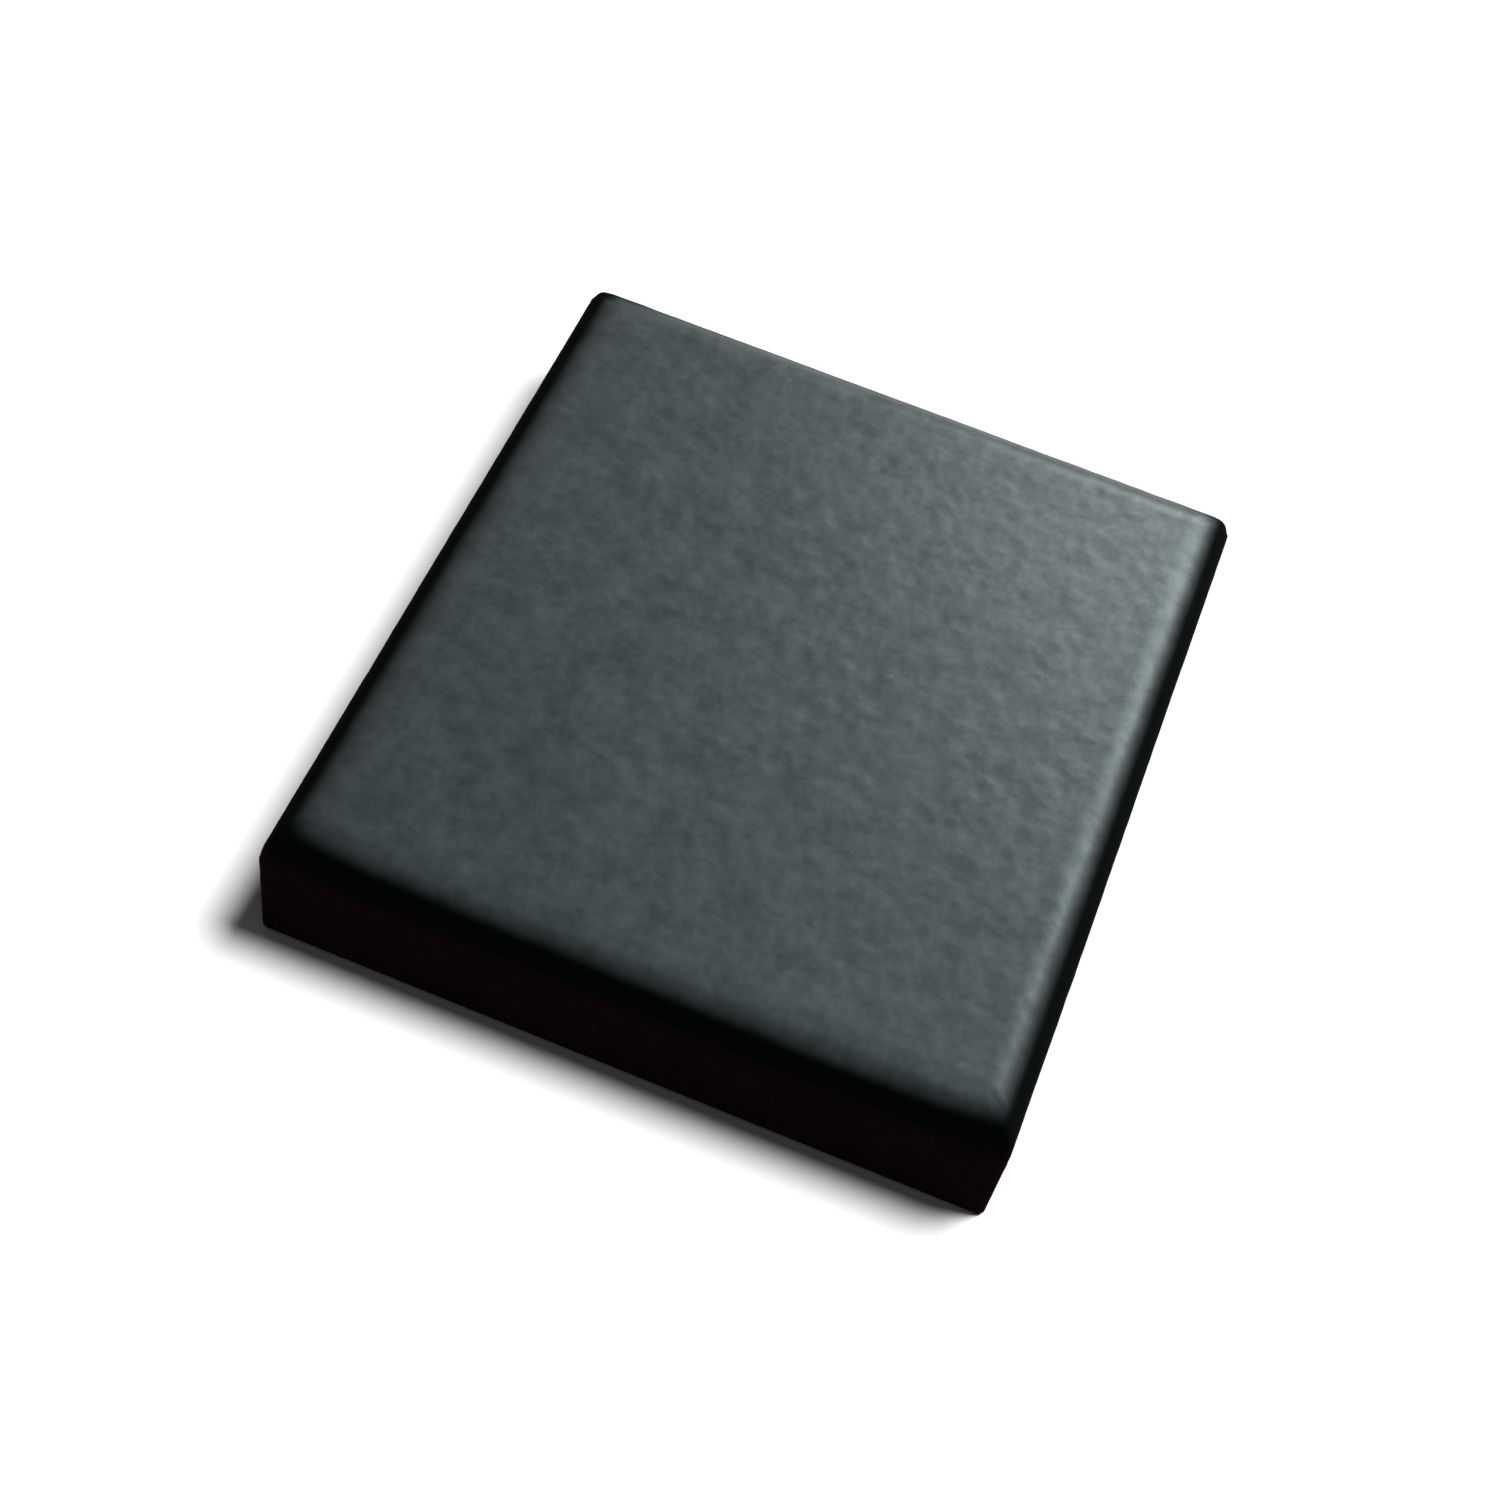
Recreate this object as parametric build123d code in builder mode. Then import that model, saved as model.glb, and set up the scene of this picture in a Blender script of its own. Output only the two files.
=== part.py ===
from build123d import *
import os

# Clinker floor tile: one dry-pressed and fired ceramic piece.
# Millimetres, +Z up, the origin at the middle of the underside.
# X runs along the width, Y along the depth, and the walking face is the top.

# Overall size
tile_width = 100.0
tile_depth = 109.0
tile_height = 22.0

# Edges: a broad round along the top, a small round on the four upright corners
# and a fine arris where the sides meet the underside
top_edge_radius = 6.0
upright_corner_radius = 1.0
bottom_arris = 0.6

# Keyed back: shallow drafted pockets between ribs, inside a plain rim
rim_width = 6.5
rib_width = 3.0
pocket_target_side = 12.0
pocket_depth = 1.2
pocket_draft = 25.0
pocket_corner_radius = 1.6

# Pockets that share each way of the field inside the rim
field_width = tile_width - 2 * rim_width
field_depth = tile_depth - 2 * rim_width
pocket_target_pitch = pocket_target_side + rib_width
columns = max(1, round((field_width + rib_width) / pocket_target_pitch))
rows = max(1, round((field_depth + rib_width) / pocket_target_pitch))
pitch_x = (field_width + rib_width) / columns
pitch_y = (field_depth + rib_width) / rows
pocket_width = pitch_x - rib_width
pocket_length = pitch_y - rib_width

with BuildPart() as floor_tile:
    # Pressed body: the plan of the die raised to the full thickness
    with BuildSketch():
        RectangleRounded(tile_width, tile_depth, upright_corner_radius)
    extrude(amount=tile_height)
    fillet(floor_tile.faces().sort_by(Axis.Z)[-1].edges(), top_edge_radius)
    chamfer(floor_tile.faces().sort_by(Axis.Z)[0].edges(), bottom_arris)

    # Keyed back: the mortar grips in the pockets, and rim and ribs lie in one plane
    with BuildSketch():
        with GridLocations(pitch_x, pitch_y, columns, rows):
            RectangleRounded(pocket_width, pocket_length, pocket_corner_radius)
    extrude(amount=pocket_depth, taper=pocket_draft, mode=Mode.SUBTRACT)

floor_tile.part.label = "floor_tile"

os.makedirs("parts", exist_ok=True)
export_step(floor_tile.part, "parts/floor_tile.step")
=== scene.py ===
"""Looks of a clinker floor tile: one dry-pressed ceramic piece, vitrified in the kiln, on a studio floor.

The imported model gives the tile's box. The tile is modelled again here with its fired relief, then dressed
and lit. Lengths are written in millimetres and turned to metres by MM. The photographed front is on the -Y
side.
"""
import logging
import math
from dataclasses import dataclass, field
from enum import IntEnum
from typing import Any, Callable

import bpy
import numpy as np
from mathutils import Matrix, Vector


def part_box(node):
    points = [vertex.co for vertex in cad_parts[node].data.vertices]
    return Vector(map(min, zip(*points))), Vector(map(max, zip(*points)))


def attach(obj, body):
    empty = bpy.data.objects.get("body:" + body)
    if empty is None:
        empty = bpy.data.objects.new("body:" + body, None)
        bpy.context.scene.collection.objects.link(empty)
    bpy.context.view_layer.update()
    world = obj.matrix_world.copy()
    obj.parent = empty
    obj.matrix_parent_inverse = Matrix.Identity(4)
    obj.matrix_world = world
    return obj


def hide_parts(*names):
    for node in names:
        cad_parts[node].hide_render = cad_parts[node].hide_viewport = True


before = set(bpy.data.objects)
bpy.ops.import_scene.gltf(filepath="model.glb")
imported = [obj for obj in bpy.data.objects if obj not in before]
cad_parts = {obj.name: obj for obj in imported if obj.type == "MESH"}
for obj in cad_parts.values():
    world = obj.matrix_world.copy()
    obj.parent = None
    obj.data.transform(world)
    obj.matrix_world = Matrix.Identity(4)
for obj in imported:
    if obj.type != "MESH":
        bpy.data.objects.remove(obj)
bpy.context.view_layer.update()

MM = 0.001
LOG = logging.getLogger("clinker_tile")

# Says which edges or faces to take, from two arrays with a row of coordinates for each of them
Choice = Callable[[np.ndarray, np.ndarray], np.ndarray]


class Axis(IntEnum):
    """The three ways in which the tile's long edges run, by their place in a row of coordinates."""

    ACROSS = 0
    ALONG = 1
    UPRIGHT = 2


def linear(hex_colour: str) -> tuple[float, float, float, float]:
    """Turns an sRGB hex colour into linear RGBA.

    Args:
        hex_colour: the colour, such as "#34393B".

    Returns:
        Red, green and blue in linear light, and an alpha of one.
    """
    channels = [int(hex_colour[i:i + 2], 16) / 255 for i in (1, 3, 5)]
    red, green, blue = (c / 12.92 if c <= 0.04045 else ((c + 0.055) / 1.055) ** 2.4 for c in channels)
    return red, green, blue, 1.0


def add_node(
    tree: bpy.types.NodeTree,
    kind: str,
    settings: dict[str | int, Any] | None = None,
    links: dict[str | int, bpy.types.NodeSocket] | None = None,
) -> bpy.types.Node:
    """Adds a node, sets its values and links its inputs.

    Args:
        tree: the node tree that gets the node.
        kind: the node's type, such as "ShaderNodeTexNoise".
        settings: values by input name or number, or by the name of one of the node's own options.
        links: output sockets by the name or number of the input that they feed.

    Returns:
        The new node.
    """
    node = tree.nodes.new(kind)
    options = {k: v for k, v in (settings or {}).items() if isinstance(k, str) and k not in node.inputs}
    for option, value in options.items():
        setattr(node, option, value)
    for key, value in (settings or {}).items():
        if key not in options:
            node.inputs[key].default_value = value
    for key, socket in (links or {}).items():
        tree.links.new(socket, node.inputs[key])
    return node


def per_metre(size_mm: float) -> float:
    """Gives a texture's scale for a pattern whose features are this many millimetres apart."""
    return 1.0 / (size_mm * MM)


def direction(bearing_deg: float, elevation_deg: float) -> Vector:
    """Gives the way from the tile to a lamp.

    Args:
        bearing_deg: counted from the far side towards the right.
        elevation_deg: counted up from the floor.

    Returns:
        The way, one metre long.
    """
    bearing = math.radians(bearing_deg)
    elevation = math.radians(elevation_deg)
    level = math.cos(elevation)
    return Vector((math.sin(bearing) * level, math.cos(bearing) * level, math.sin(elevation)))


def deselect_all() -> None:
    """Leaves edit mode and selects nothing, so that an operator acts on the piece in hand alone."""
    if bpy.context.object and bpy.context.object.mode != "OBJECT":
        bpy.ops.object.mode_set(mode="OBJECT")
    bpy.ops.object.select_all(action="DESELECT")


def make_active(piece: bpy.types.Object) -> None:
    """Selects one piece and makes it the active one.

    Args:
        piece: the piece in hand.
    """
    deselect_all()
    piece.select_set(True)
    bpy.context.view_layer.objects.active = piece


def edit_edges(piece: bpy.types.Object, choice: Choice) -> None:
    """Opens a piece in edit mode with some of its edges selected.

    Args:
        piece: the piece to edit.
        choice: takes the first and the second ends of all edges.
    """
    make_active(piece)
    mesh = piece.data
    places = np.empty(3 * len(mesh.vertices))
    mesh.vertices.foreach_get("co", places)
    ends = np.empty(2 * len(mesh.edges), dtype=np.int32)
    mesh.edges.foreach_get("vertices", ends)
    ends = ends.reshape(-1, 2)
    points = places.reshape(-1, 3)[ends]
    chosen = choice(points[:, 0], points[:, 1])
    picked = np.zeros(len(mesh.vertices), dtype=bool)
    picked[ends[chosen].ravel()] = True
    mesh.polygons.foreach_set("select", np.zeros(len(mesh.polygons), dtype=bool))
    mesh.vertices.foreach_set("select", picked)
    mesh.edges.foreach_set("select", chosen)
    bpy.context.tool_settings.mesh_select_mode = (False, True, False)
    bpy.ops.object.mode_set(mode="EDIT")


def edit_faces(piece: bpy.types.Object, choice: Choice) -> None:
    """Opens a piece in edit mode with some of its faces selected.

    Args:
        piece: the piece to edit.
        choice: takes the centres and the normals of all faces.
    """
    make_active(piece)
    mesh = piece.data
    centres = np.empty(3 * len(mesh.polygons))
    normals = np.empty(3 * len(mesh.polygons))
    mesh.polygons.foreach_get("center", centres)
    mesh.polygons.foreach_get("normal", normals)
    chosen = choice(centres.reshape(-1, 3), normals.reshape(-1, 3))
    mesh.vertices.foreach_set("select", np.zeros(len(mesh.vertices), dtype=bool))
    mesh.edges.foreach_set("select", np.zeros(len(mesh.edges), dtype=bool))
    mesh.polygons.foreach_set("select", chosen)
    bpy.context.tool_settings.mesh_select_mode = (False, False, True)
    bpy.ops.object.mode_set(mode="EDIT")


@dataclass(frozen=True)
class Pattern:
    """A random pattern of the fired surface, at its real size."""

    size_mm: float
    detail: float
    roughness: float = 0.5

    def build(self, tree: bpy.types.NodeTree, place: bpy.types.NodeSocket) -> bpy.types.NodeSocket:
        """Adds the pattern as a fractal noise.

        Args:
            tree: the material's tree.
            place: the Object coordinates.

        Returns:
            The pattern's value, about one half on average.
        """
        node = add_node(
            tree, "ShaderNodeTexNoise",
            {"Scale": per_metre(self.size_mm), "Detail": self.detail, "Roughness": self.roughness},
            {"Vector": place},
        )
        return node.outputs["Fac"]


@dataclass(frozen=True)
class VitrifiedClinker:
    """Clinker that was pressed from stained clay and fired until it vitrified.

    The walking face has a satin anthracite skin, which takes a broad soft sheen from a lamp behind it and is
    mottled with paler grey. Down the rounded edges, which turn away from the lamps, the skin and its gloss
    give way to painted shade, a nearly black band. The upright sides and the back show the body, a rough
    brown-black with hardly any gloss.
    """

    name: str = "vitrified_clinker"
    # Colours
    skin_hex: str = "#1C2122"
    skin_pale_hex: str = "#2A2F31"
    sheen_tint_hex: str = "#E4FDFC"
    # painted shade: the nearly black band down the rounded edges, which turn away from the lamps
    painted_edge_shade_hex: str = "#0B0E0F"
    body_hex: str = "#241716"
    body_dark_hex: str = "#1B1111"
    body_dust_hex: str = "#2F2422"
    # Gloss
    ior: float = 1.5
    skin_roughness: float = 0.365
    roughness_spread: float = 0.02
    skin_specular: float = 0.36
    sheen_spread: float = 0.07
    body_roughness: float = 0.85
    body_specular: float = 0.004
    # Patterns, and the values between which they mostly lie
    cloud: Pattern = Pattern(size_mm=7.0, detail=4.0)
    mottle: Pattern = Pattern(size_mm=2.3, detail=3.0, roughness=0.7)
    grain: Pattern = Pattern(size_mm=0.8, detail=3.0)
    grit: Pattern = Pattern(size_mm=0.45, detail=2.0)
    pattern_low: float = 0.3
    pattern_middle: float = 0.5
    pattern_high: float = 0.7
    # Values of the patterns between which a colour gives way to the next
    skin_pale_from: float = 0.75
    skin_pale_to: float = 1.25
    body_dark_from: float = 0.35
    body_dark_to: float = 0.65
    dust_from: float = 0.52
    dust_to: float = 0.72
    dust_most: float = 0.7
    # Depths below the walking face at which the skin gives way to painted shade, and at which that painted
    # shade down the rounded edges fades into the body
    skin_gives_way_to_shade_from_mm: float = 0.4
    skin_ends_in_shade_mm: float = 2.6
    painted_shade_fades_from_mm: float = 4.0
    painted_shade_ends_mm: float = 7.5
    # Course of the lines where skin and painted shade end: they lean so that the painted shade reaches
    # higher on the left, rise towards the left and right sides, where it also reaches higher, and wander
    shade_line_lean: float = 0.008
    shade_line_rises_mm: float = 1.4
    rising_power: float = 6.0
    line_wander_mm: float = 0.3
    # Relief that is finer than the mesh
    grain_bump: float = 0.35
    grain_depth_mm: float = 0.03
    grit_bump: float = 0.3
    grit_depth_mm: float = 0.02

    def material(self, top: float, half_width: float) -> bpy.types.Material:
        """Makes the material of the whole tile.

        Args:
            top: the height of the walking face.
            half_width: how far the left and right sides are from the middle.

        Returns:
            The material, on Object coordinates in metres.
        """
        made = bpy.data.materials.new(self.name)
        made.use_nodes = True
        tree = made.node_tree
        tree.nodes.clear()
        place = add_node(tree, "ShaderNodeTexCoord").outputs["Object"]
        cloud = self.cloud.build(tree, place)
        mottle = self.mottle.build(tree, place)
        grain = self.grain.build(tree, place)
        grit = self.grit.build(tree, place)
        level = self.level(tree, place, cloud, half_width)
        # painted shade: below this line down the rounded edges the skin's colour and gloss give way to
        # painted shade
        skin = self.cover(tree, level, top - self.skin_ends_in_shade_mm * MM, top - self.skin_gives_way_to_shade_from_mm * MM)
        # painted shade: a nearly black band down the rounded edges, fading into the body colour further down
        painted_edge_shade = self.cover(tree, level, top - self.painted_shade_ends_mm * MM, top - self.painted_shade_fades_from_mm * MM)
        body_with_painted_shade = add_node(
            tree, "ShaderNodeMix", {"data_type": "RGBA", "B": linear(self.painted_edge_shade_hex)},
            {"Factor": painted_edge_shade, "A": self.body_colour(tree, cloud, grain)},
        )
        # Where the skin gives way, colour, roughness and gloss go over to the painted shade and the body
        colour = add_node(
            tree, "ShaderNodeMix", {"data_type": "RGBA"},
            {"Factor": skin, "A": body_with_painted_shade.outputs["Result"], "B": self.skin_colour(tree, cloud, mottle)},
        )
        rough = add_node(
            tree, "ShaderNodeMix", {"data_type": "FLOAT", "A": self.body_roughness},
            {"Factor": skin, "B": self.varied(tree, cloud, self.skin_roughness, self.roughness_spread)},
        )
        gloss = add_node(
            tree, "ShaderNodeMix", {"data_type": "FLOAT", "A": self.body_specular},
            {"Factor": skin, "B": self.varied(tree, mottle, self.skin_specular, self.sheen_spread)},
        )
        shader = add_node(
            tree, "ShaderNodeBsdfPrincipled",
            {"IOR": self.ior, "Specular Tint": linear(self.sheen_tint_hex)},
            {
                "Base Color": colour.outputs["Result"],
                "Roughness": rough.outputs["Result"],
                "Specular IOR Level": gloss.outputs["Result"],
                "Normal": self.fine_relief(tree, grain, grit),
            },
        )
        add_node(tree, "ShaderNodeOutputMaterial", links={"Surface": shader.outputs["BSDF"]})
        return made

    def level(
        self,
        tree: bpy.types.NodeTree,
        place: bpy.types.NodeSocket,
        cloud: bpy.types.NodeSocket,
        half_width: float,
    ) -> bpy.types.NodeSocket:
        """Works out the height that the lines of skin and painted shade follow.

        The lines lean a little across the tile, so that the painted shade reaches higher on the left, rise
        towards its left and right sides, where the painted shade also reaches higher, and wander with the
        cloud.

        Args:
            tree: the material's tree.
            place: the Object coordinates.
            cloud: the pattern that lets the lines wander.
            half_width: how far the left and right sides are from the middle.

        Returns:
            The height in metres.
        """
        split = add_node(tree, "ShaderNodeSeparateXYZ", links={"Vector": place}).outputs
        leaning = add_node(
            tree, "ShaderNodeMath", {"operation": "MULTIPLY_ADD", 1: self.shade_line_lean},
            {0: split["X"], 2: split["Z"]},
        )
        across = add_node(tree, "ShaderNodeMath", {"operation": "ABSOLUTE"}, {0: split["X"]})
        aside = add_node(
            tree, "ShaderNodeMath", {"operation": "DIVIDE", 1: half_width}, {0: across.outputs["Value"]}
        )
        edge = add_node(
            tree, "ShaderNodeMath", {"operation": "POWER", 1: self.rising_power}, {0: aside.outputs["Value"]}
        )
        risen = add_node(
            tree, "ShaderNodeMath", {"operation": "MULTIPLY_ADD", 1: -self.shade_line_rises_mm * MM},
            {0: edge.outputs["Value"], 2: leaning.outputs["Value"]},
        )
        wander = self.line_wander_mm * MM
        wandering = add_node(
            tree, "ShaderNodeMath",
            {"operation": "MULTIPLY_ADD", 1: wander, 2: -self.pattern_middle * wander}, {0: cloud},
        )
        level = add_node(
            tree, "ShaderNodeMath", {"operation": "ADD"},
            {0: risen.outputs["Value"], 1: wandering.outputs["Value"]},
        )
        return level.outputs["Value"]

    @staticmethod
    def cover(
        tree: bpy.types.NodeTree, level: bpy.types.NodeSocket, lowest: float, whole_from: float
    ) -> bpy.types.NodeSocket:
        """Says where a layer covers the tile from the top down, with a soft lower line.

        Args:
            tree: the material's tree.
            level: the height that the line follows.
            lowest: the height below which there is none of the layer.
            whole_from: the height above which the layer is whole.

        Returns:
            One where the layer is whole and nought below it.
        """
        share = add_node(
            tree, "ShaderNodeMapRange",
            {"interpolation_type": "SMOOTHSTEP", "From Min": lowest, "From Max": whole_from},
            {"Value": level},
        )
        return share.outputs["Result"]

    def varied(
        self, tree: bpy.types.NodeTree, pattern: bpy.types.NodeSocket, middle: float, spread: float
    ) -> bpy.types.NodeSocket:
        """Lets a value of the skin vary with a pattern.

        Args:
            tree: the material's tree.
            pattern: the pattern to follow.
            middle: the value on average.
            spread: how far it goes up and down.

        Returns:
            The varied value.
        """
        node = add_node(
            tree, "ShaderNodeMapRange",
            {
                "From Min": self.pattern_low, "From Max": self.pattern_high,
                "To Min": middle - spread, "To Max": middle + spread,
            },
            {"Value": pattern},
        )
        return node.outputs["Result"]

    def skin_colour(
        self, tree: bpy.types.NodeTree, cloud: bpy.types.NodeSocket, mottle: bpy.types.NodeSocket
    ) -> bpy.types.NodeSocket:
        """Mixes the anthracite skin: soft clouds with a fine mottle in them.

        Args:
            tree: the material's tree.
            cloud: the broad pattern.
            mottle: the pattern that also varies the sheen.

        Returns:
            The skin's colour.
        """
        blend = add_node(tree, "ShaderNodeMath", {"operation": "ADD"}, {0: mottle, 1: cloud})
        share = add_node(
            tree, "ShaderNodeMapRange", {"From Min": self.skin_pale_from, "From Max": self.skin_pale_to},
            {"Value": blend.outputs["Value"]},
        )
        clouded = add_node(
            tree, "ShaderNodeMix",
            {"data_type": "RGBA", "A": linear(self.skin_hex), "B": linear(self.skin_pale_hex)},
            {"Factor": share.outputs["Result"]},
        )
        return clouded.outputs["Result"]

    def body_colour(
        self, tree: bpy.types.NodeTree, cloud: bpy.types.NodeSocket, grain: bpy.types.NodeSocket
    ) -> bpy.types.NodeSocket:
        """Mixes the bare body: brown-black, darker in clouds, with a little pale dust in the grain.

        Args:
            tree: the material's tree.
            cloud: the broad pattern.
            grain: the fine pattern.

        Returns:
            The body's colour.
        """
        share = add_node(
            tree, "ShaderNodeMapRange", {"From Min": self.body_dark_from, "From Max": self.body_dark_to},
            {"Value": cloud},
        )
        clouded = add_node(
            tree, "ShaderNodeMix",
            {"data_type": "RGBA", "A": linear(self.body_hex), "B": linear(self.body_dark_hex)},
            {"Factor": share.outputs["Result"]},
        )
        dust = add_node(
            tree, "ShaderNodeMapRange",
            {"From Min": self.dust_from, "From Max": self.dust_to, "To Max": self.dust_most},
            {"Value": grain},
        )
        dusted = add_node(
            tree, "ShaderNodeMix", {"data_type": "RGBA", "B": linear(self.body_dust_hex)},
            {"Factor": dust.outputs["Result"], "A": clouded.outputs["Result"]},
        )
        return dusted.outputs["Result"]

    def fine_relief(
        self, tree: bpy.types.NodeTree, grain: bpy.types.NodeSocket, grit: bpy.types.NodeSocket
    ) -> bpy.types.NodeSocket:
        """Adds the relief that is finer than the mesh: grain and grit.

        Args:
            tree: the material's tree.
            grain: the fine pattern.
            grit: the finest pattern.

        Returns:
            The bumped normal.
        """
        coarse = add_node(
            tree, "ShaderNodeBump", {"Strength": self.grain_bump, "Distance": self.grain_depth_mm * MM},
            {"Height": grain},
        )
        fine = add_node(
            tree, "ShaderNodeBump", {"Strength": self.grit_bump, "Distance": self.grit_depth_mm * MM},
            {"Height": grit, "Normal": coarse.outputs["Normal"]},
        )
        return fine.outputs["Normal"]


@dataclass(frozen=True)
class Relief:
    """One layer of the relief that pressing and firing leave on the tile, at its real size."""

    name: str
    feature_mm: float
    depth_mm: float
    octaves: int


@dataclass
class FloorTile:
    """The tile: one pressed block with rounded top edges, small upright corner rounds and a keyed back."""

    finish: VitrifiedClinker
    name: str = "tile_with_relief"
    node: str = "floor_tile"
    slot: str = "fired_clinker"
    fired_group: str = "fired"
    width: float = field(init=False)
    depth: float = field(init=False)
    height: float = field(init=False)
    # Edges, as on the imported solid
    top_edge_radius: float = 6.0 * MM
    corner_radius: float = 1.0 * MM
    bottom_arris: float = 0.6 * MM
    round_segments: int = 12
    arris_segments: int = 2
    at_floor: float = 0.1 * MM
    facing_down: float = -0.99
    # Cells of the mesh
    cell: float = 0.52 * MM
    most_cuts: int = 100
    halved_from: float = 0.8
    # Keyed back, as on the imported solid
    columns: int = 6
    rows: int = 7
    rim: float = 6.5 * MM
    rib: float = 3.0 * MM
    pocket_depth: float = 1.2 * MM
    pocket_draft_deg: float = 25.0
    pocket_corner: float = 1.6 * MM
    pocket_corner_segments: int = 3
    # Relief and shading
    fired_from: float = 1.2 * MM
    smooth_angle_deg: float = 32.0
    layers: tuple[Relief, ...] = (
        Relief("kiln_warp", feature_mm=38.0, depth_mm=0.10, octaves=1),
        Relief("press_ripple", feature_mm=3.2, depth_mm=0.11, octaves=2),
        Relief("grain_relief", feature_mm=1.5, depth_mm=0.03, octaves=1),
    )

    def __post_init__(self) -> None:
        """Takes the tile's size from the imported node."""
        low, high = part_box(self.node)
        self.width, self.depth, self.height = high - low

    def build(self) -> bpy.types.Object:
        """Models the tile and puts it in the place of its node.

        Returns:
            The finished piece.
        """
        piece = self.press_block()
        self.round_edges(piece)
        self.open_back(piece)
        self.divide(piece)
        self.key_back(piece)
        self.close_rim(piece)
        self.fire(piece)
        self.dress(piece)
        return piece

    def press_block(self) -> bpy.types.Object:
        """Adds the plain block that the press leaves, with its place in its mesh.

        Returns:
            The block.
        """
        deselect_all()
        bpy.ops.mesh.primitive_cube_add(
            size=1.0, location=(0.0, 0.0, self.height / 2), scale=(self.width, self.depth, self.height)
        )
        piece = bpy.context.object
        piece.name = piece.data.name = self.name
        bpy.ops.object.transform_apply(location=True, rotation=False, scale=True)
        return piece

    def round_edges(self, piece: bpy.types.Object) -> None:
        """Rounds the top edges broadly, the upright corners slightly, and eases the bottom edges.

        Args:
            piece: the plain block.
        """
        mesh = piece.data
        weights = mesh.attributes.new("bevel_weight_edge", "FLOAT", "EDGE")
        for edge in mesh.edges:
            heights = [mesh.vertices[i].co.z for i in edge.vertices]
            if min(heights) > self.height / 2:
                weights.data[edge.index].value = 1.0
            elif max(heights) > self.height / 2:
                weights.data[edge.index].value = self.corner_radius / self.top_edge_radius
        rounding = piece.modifiers.new("rounding", "BEVEL")
        rounding.limit_method = "WEIGHT"
        rounding.width = self.top_edge_radius
        rounding.segments = self.round_segments
        make_active(piece)
        bpy.ops.object.modifier_apply(modifier=rounding.name)
        edit_edges(piece, lambda first, second: np.maximum(first, second)[:, Axis.UPRIGHT] < self.at_floor)
        bpy.ops.mesh.bevel(offset=self.bottom_arris, segments=self.arris_segments, affect="EDGES")
        bpy.ops.object.mode_set(mode="OBJECT")

    def open_back(self, piece: bpy.types.Object) -> None:
        """Takes out the plain underside, which the keyed back replaces.

        Args:
            piece: the rounded block.
        """
        up = Axis.UPRIGHT
        edit_faces(
            piece,
            lambda centre, normal: (normal[:, up] < self.facing_down) & (centre[:, up] < self.at_floor),
        )
        bpy.ops.mesh.delete(type="ONLY_FACE")
        bpy.ops.object.mode_set(mode="OBJECT")

    def divide(self, piece: bpy.types.Object) -> None:
        """Divides the long faces into small square cells that can take the relief.

        The operator makes a hundred cuts at most, so a long edge is cut coarsely and its cells are halved.

        Args:
            piece: the rounded block, open underneath.
        """
        lengths = {
            Axis.ACROSS: self.width,
            Axis.ALONG: self.depth,
            Axis.UPRIGHT: self.height - self.top_edge_radius,
        }
        for axis, length in lengths.items():
            halved = length > self.most_cuts * self.cell
            coarse_cell = 2 * self.cell if halved else self.cell
            cells = round(length / coarse_cell)
            edit_edges(piece, lambda first, second: np.abs(first - second)[:, axis] > length / 2)
            bpy.ops.mesh.subdivide(number_cuts=cells - 1)
            if halved:
                least = self.halved_from * length / cells
                edit_edges(piece, lambda first, second: np.abs(first - second)[:, axis] > least)
                bpy.ops.mesh.subdivide(number_cuts=1)
            bpy.ops.object.mode_set(mode="OBJECT")

    def key_back(self, piece: bpy.types.Object) -> None:
        """Models the keyed back, ribs around drafted pockets, and joins it to the block.

        Args:
            piece: the divided block, open underneath.
        """
        pitch_x = (self.width - 2 * self.rim + self.rib) / self.columns
        pitch_y = (self.depth - 2 * self.rim + self.rib) / self.rows
        deselect_all()
        bpy.ops.mesh.primitive_grid_add(x_subdivisions=self.columns, y_subdivisions=self.rows, size=1.0)
        back = bpy.context.object
        bpy.ops.transform.resize(value=(pitch_x * self.columns, pitch_y * self.rows, 1.0))
        bpy.ops.object.transform_apply(location=False, rotation=False, scale=True)
        edit_faces(back, lambda centre, normal: np.ones(len(centre), dtype=bool))
        bpy.ops.mesh.flip_normals()
        bpy.ops.mesh.inset(thickness=self.rib / 2, use_individual=True, use_boundary=True)
        draft = self.pocket_depth * math.tan(math.radians(self.pocket_draft_deg))
        bpy.ops.mesh.inset(thickness=draft, depth=-self.pocket_depth, use_individual=True)
        bpy.ops.object.mode_set(mode="OBJECT")
        least_rise = self.pocket_depth / 2
        edit_edges(back, lambda first, second: np.abs(first - second)[:, Axis.UPRIGHT] > least_rise)
        bpy.ops.mesh.bevel(offset=self.pocket_corner, segments=self.pocket_corner_segments, affect="EDGES")
        make_active(piece)
        back.select_set(True)
        bpy.ops.object.join()

    def close_rim(self, piece: bpy.types.Object) -> None:
        """Fills the flat rim between the block's open edge and the ribs.

        Args:
            piece: the block joined with the back.
        """
        make_active(piece)
        bpy.context.tool_settings.mesh_select_mode = (False, True, False)
        bpy.ops.object.mode_set(mode="EDIT")
        bpy.ops.mesh.select_all(action="DESELECT")
        bpy.ops.mesh.select_non_manifold(
            extend=False, use_wire=False, use_boundary=True, use_multi_face=False,
            use_non_contiguous=False, use_verts=False,
        )
        bpy.ops.mesh.fill(use_beauty=True)
        bpy.ops.mesh.select_all(action="SELECT")
        bpy.ops.mesh.normals_make_consistent(inside=False)
        bpy.ops.object.mode_set(mode="OBJECT")

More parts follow.
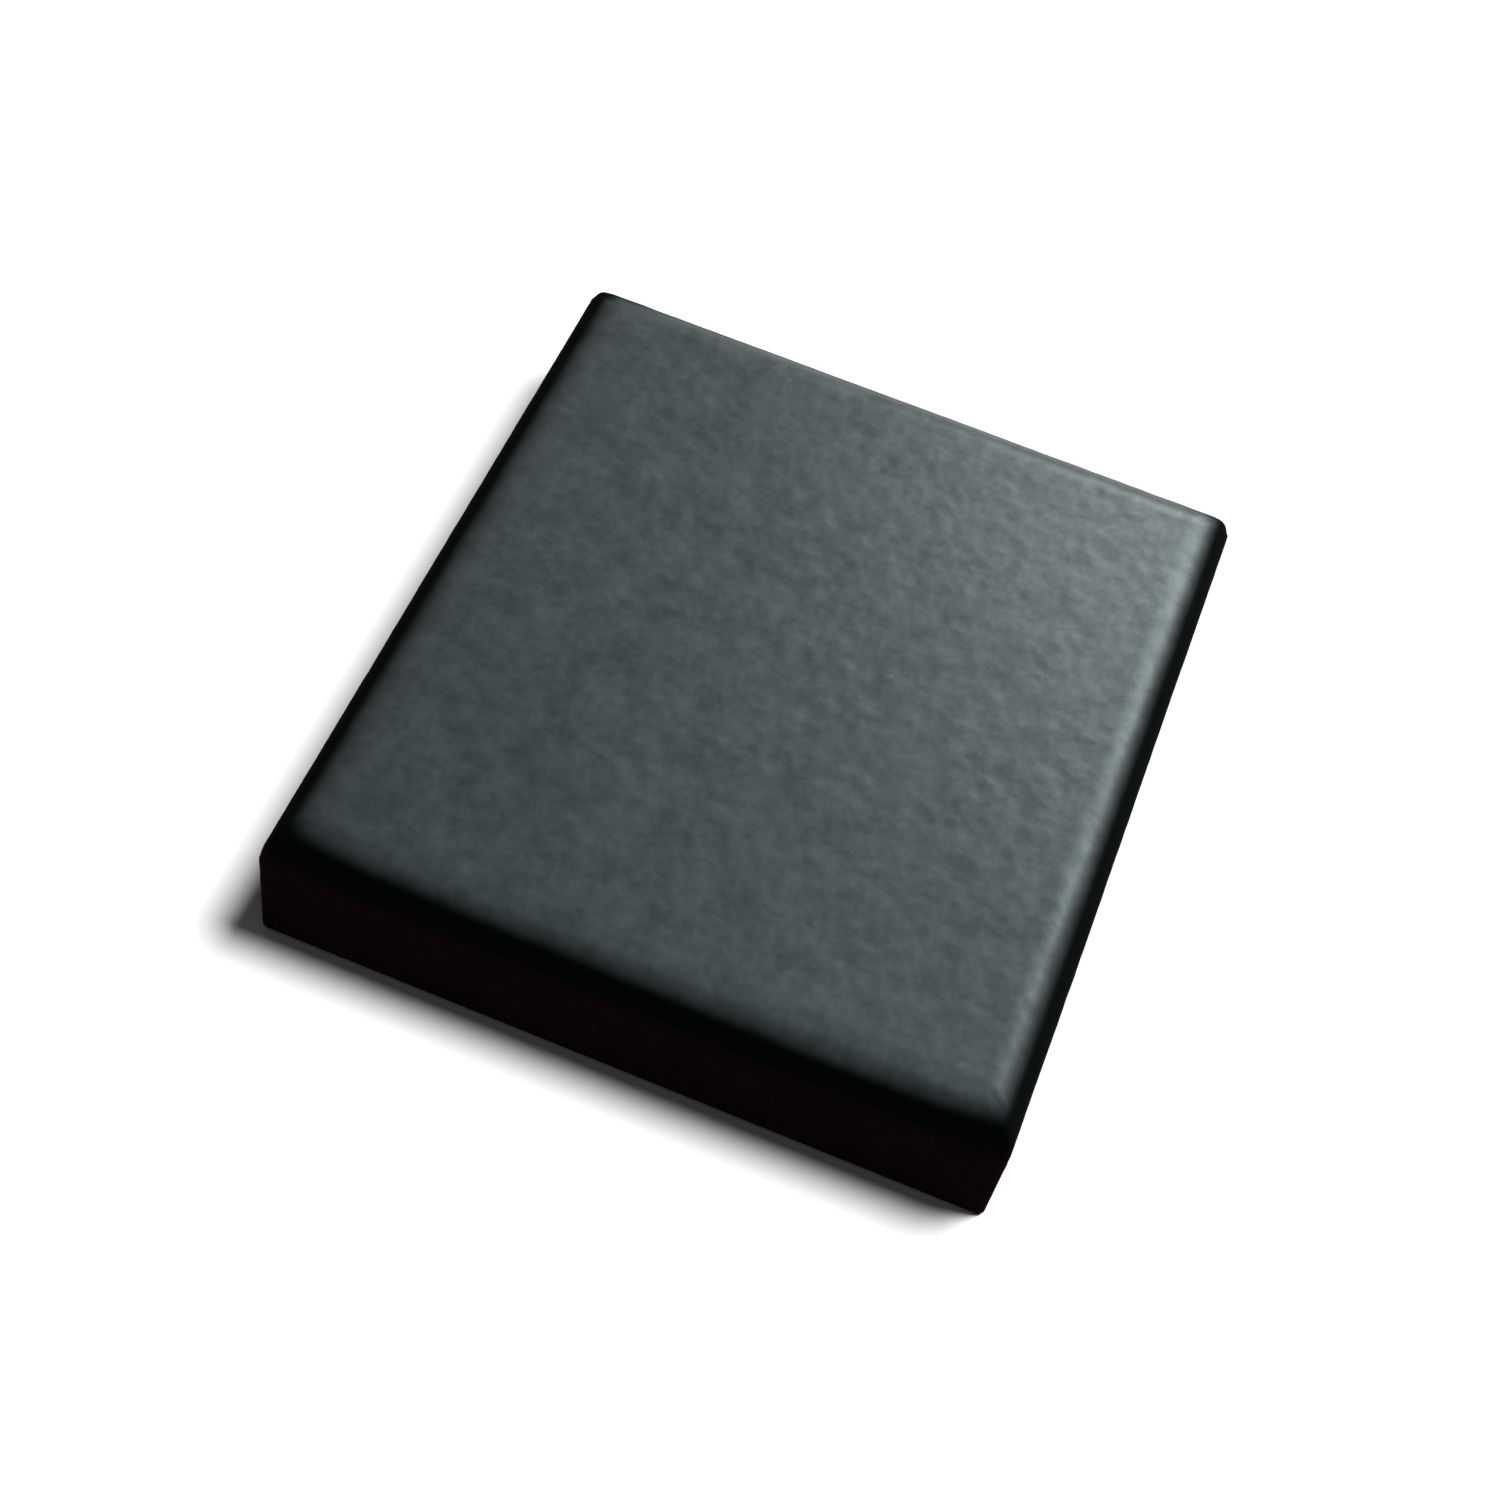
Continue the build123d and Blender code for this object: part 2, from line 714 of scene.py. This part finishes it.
    def fire(self, piece: bpy.types.Object) -> None:
        """Gives the skin and the sides the relief of pressing and firing, and leaves the back flat.

        Args:
            piece: the closed tile.
        """
        mesh = piece.data
        places = np.empty(3 * len(mesh.vertices))
        mesh.vertices.foreach_get("co", places)
        above = np.flatnonzero(places.reshape(-1, 3)[:, Axis.UPRIGHT] > self.fired_from)
        piece.vertex_groups.new(name=self.fired_group).add(above.tolist(), 1.0, "REPLACE")
        make_active(piece)
        for layer in self.layers:
            texture = bpy.data.textures.new(layer.name, "CLOUDS")
            texture.noise_scale = layer.feature_mm * MM
            texture.noise_depth = layer.octaves
            displace = piece.modifiers.new(layer.name, "DISPLACE")
            displace.texture = texture
            displace.texture_coords = "LOCAL"
            displace.vertex_group = self.fired_group
            displace.strength = layer.depth_mm * MM
            bpy.ops.object.modifier_apply(modifier=displace.name)

    def dress(self, piece: bpy.types.Object) -> None:
        """Smooths the shading, gives the tile its finish and ties it to the frame.

        Args:
            piece: the fired tile.
        """
        make_active(piece)
        bpy.ops.object.shade_smooth_by_angle(angle=math.radians(self.smooth_angle_deg))
        piece.data.materials.clear()
        piece.data.materials.append(self.finish.material(self.height, self.width / 2))
        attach(piece, "root")
        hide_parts(self.node)


@dataclass(frozen=True)
class Softbox:
    """A rectangular studio lamp, placed by its bearing from the tile."""

    name: str
    bearing_deg: float
    elevation_deg: float
    distance_mm: float
    width_mm: float
    height_mm: float
    radiance: float

    def build(self) -> bpy.types.Object:
        """Adds the lamp, aimed at the tile.

        Returns:
            The lamp. Its radiance is 1 for white.
        """
        towards = direction(self.bearing_deg, self.elevation_deg)
        bpy.ops.object.light_add(type="AREA", location=towards * self.distance_mm * MM)
        lamp = bpy.context.object
        lamp.name = self.name
        lamp.rotation_euler = towards.to_track_quat("Z", "Y").to_euler()
        lamp.data.shape = "RECTANGLE"
        lamp.data.size = self.width_mm * MM
        lamp.data.size_y = self.height_mm * MM
        lamp.data.energy = self.radiance * math.pi * lamp.data.size * lamp.data.size_y
        return lamp


@dataclass(frozen=True)
class DistantLamp:
    """A round lamp so far away that it lights the whole floor evenly, placed by its bearing."""

    name: str
    bearing_deg: float
    elevation_deg: float
    disc_deg: float
    level: float

    def build(self) -> bpy.types.Object:
        """Adds the lamp.

        Returns:
            The lamp. At a level of 1 a level surface shows its own colour.
        """
        towards = direction(self.bearing_deg, self.elevation_deg)
        bpy.ops.object.light_add(type="SUN", location=towards)
        lamp = bpy.context.object
        lamp.name = self.name
        lamp.rotation_euler = towards.to_track_quat("Z", "Y").to_euler()
        lamp.data.angle = math.radians(self.disc_deg)
        lamp.data.energy = self.level * math.pi / towards.z
        return lamp


@dataclass
class Studio:
    """The white floor, the white surroundings and the lamps.

    The sheen on the tile and its shadow come from different sides, so some lamps light the tile alone and
    one lights the floor alone.
    """

    floor_side_mm: float = 6000.0
    floor_hex: str = "#F4F4F4"
    bounce_hex: str = "#707070"
    surround_hex: str = "#FFFFFF"
    seen_strength: float = 1.0
    ambient_strength: float = 0.06
    tile_lamps: tuple[Softbox, ...] = (
        Softbox(
            "sheen_softbox", bearing_deg=24.8, elevation_deg=34.9, distance_mm=800.0,
            width_mm=630.0, height_mm=450.0, radiance=10.8,
        ),
        Softbox(
            "top_softbox", bearing_deg=98.0, elevation_deg=76.0, distance_mm=900.0,
            width_mm=620.0, height_mm=560.0, radiance=1.9,
        ),
    )
    floor_lamps: tuple[DistantLamp, ...] = (
        DistantLamp("floor_lamp", bearing_deg=54.0, elevation_deg=66.5, disc_deg=21.0, level=1.25),
    )

    def build(self, tile: bpy.types.Object) -> None:
        """Adds floor, surroundings and lamps.

        Args:
            tile: the tile, which its own lamps light alone.
        """
        deselect_all()
        bpy.ops.mesh.primitive_plane_add(size=self.floor_side_mm * MM)
        floor = bpy.context.object
        floor.name = "studio_floor"
        floor.data.materials.append(self.floor_material())
        self.surround()
        for receiver, lamps in ((tile, self.tile_lamps), (floor, self.floor_lamps)):
            lit = bpy.data.collections.new(f"lit_{receiver.name}")
            lit.objects.link(receiver)
            for lamp in lamps:
                lamp.build().light_linking.receiver_collection = lit
                LOG.info("lamp %s for %s", lamp.name, receiver.name)

    @staticmethod
    def white_rays(tree: bpy.types.NodeTree) -> bpy.types.NodeSocket:
        """Tells the rays that see the surroundings as white: from the camera, from gloss and through glass.

        Args:
            tree: the tree of the floor or the world.

        Returns:
            One for those rays and nought for the light that bounces.
        """
        rays = add_node(tree, "ShaderNodeLightPath").outputs
        seen = add_node(
            tree, "ShaderNodeMath", {"operation": "MAXIMUM"},
            {0: rays["Is Camera Ray"], 1: rays["Is Glossy Ray"]},
        )
        through = add_node(
            tree, "ShaderNodeMath", {"operation": "MAXIMUM"},
            {0: seen.outputs["Value"], 1: rays["Is Transmission Ray"]},
        )
        return through.outputs["Value"]

    def floor_material(self) -> bpy.types.Material:
        """Makes the floor of matt white paper: white with a soft shadow, and grey to bounced light.

        Returns:
            The floor's material.
        """
        made = bpy.data.materials.new("matt_white_paper")
        made.use_nodes = True
        tree = made.node_tree
        tree.nodes.clear()
        colour = add_node(
            tree, "ShaderNodeMix",
            {"data_type": "RGBA", "A": linear(self.bounce_hex), "B": linear(self.floor_hex)},
            {"Factor": self.white_rays(tree)},
        )
        shader = add_node(tree, "ShaderNodeBsdfDiffuse", links={"Color": colour.outputs["Result"]})
        add_node(tree, "ShaderNodeOutputMaterial", links={"Surface": shader.outputs["BSDF"]})
        return made

    def surround(self) -> None:
        """Makes the world white to the eye and a dim even light to the tile."""
        world = bpy.data.worlds.new("white_surroundings")
        bpy.context.scene.world = world
        world.use_nodes = True
        tree = world.node_tree
        tree.nodes.clear()
        strength = add_node(
            tree, "ShaderNodeMix",
            {"data_type": "FLOAT", "A": self.ambient_strength, "B": self.seen_strength},
            {"Factor": self.white_rays(tree)},
        )
        light = add_node(
            tree, "ShaderNodeBackground", {"Color": linear(self.surround_hex)},
            {"Strength": strength.outputs["Result"]},
        )
        add_node(tree, "ShaderNodeOutputWorld", links={"Surface": light.outputs["Background"]})


@dataclass
class PhotoCamera:
    """The photograph's camera, found by fitting the tile to its outline."""

    eye_mm: tuple[float, float, float] = (34.24, -200.77, 288.34)
    aim_mm: tuple[float, float, float] = (-0.51, -8.15, 11.0)
    roll_deg: float = 12.80
    focal_mm: float = 60.50
    sensor_mm: float = 36.0
    clip_start_mm: float = 10.0

    def build(self) -> bpy.types.Object:
        """Adds the camera and makes it the scene's own.

        Returns:
            The camera.
        """
        eye = Vector(self.eye_mm) * MM
        view = (Vector(self.aim_mm) * MM - eye).normalized()
        level = view.cross(Vector((0.0, 0.0, 1.0))).normalized()
        upright = level.cross(view)
        roll = math.radians(self.roll_deg)
        right = level * math.cos(roll) + upright * math.sin(roll)
        up = right.cross(view)
        turn = Matrix((right, up, -view)).transposed()
        bpy.ops.object.camera_add(location=eye, rotation=turn.to_euler())
        camera = bpy.context.object
        camera.name = "photo_camera"
        camera.data.sensor_width = self.sensor_mm
        camera.data.lens = self.focal_mm
        camera.data.clip_start = self.clip_start_mm * MM
        bpy.context.scene.camera = camera
        return camera


def main() -> None:
    """Builds the tile, the studio and the camera in order, and reports each."""
    logging.basicConfig(level=logging.INFO, format="%(name)s: %(message)s")
    bpy.context.scene.view_settings.view_transform = "Standard"
    tile = FloorTile(VitrifiedClinker()).build()
    LOG.info("piece %s with %d faces", tile.name, len(tile.data.polygons))
    Studio().build(tile)
    camera = PhotoCamera().build()
    LOG.info("camera %s", camera.name)


if __name__ == "__main__":
    main()
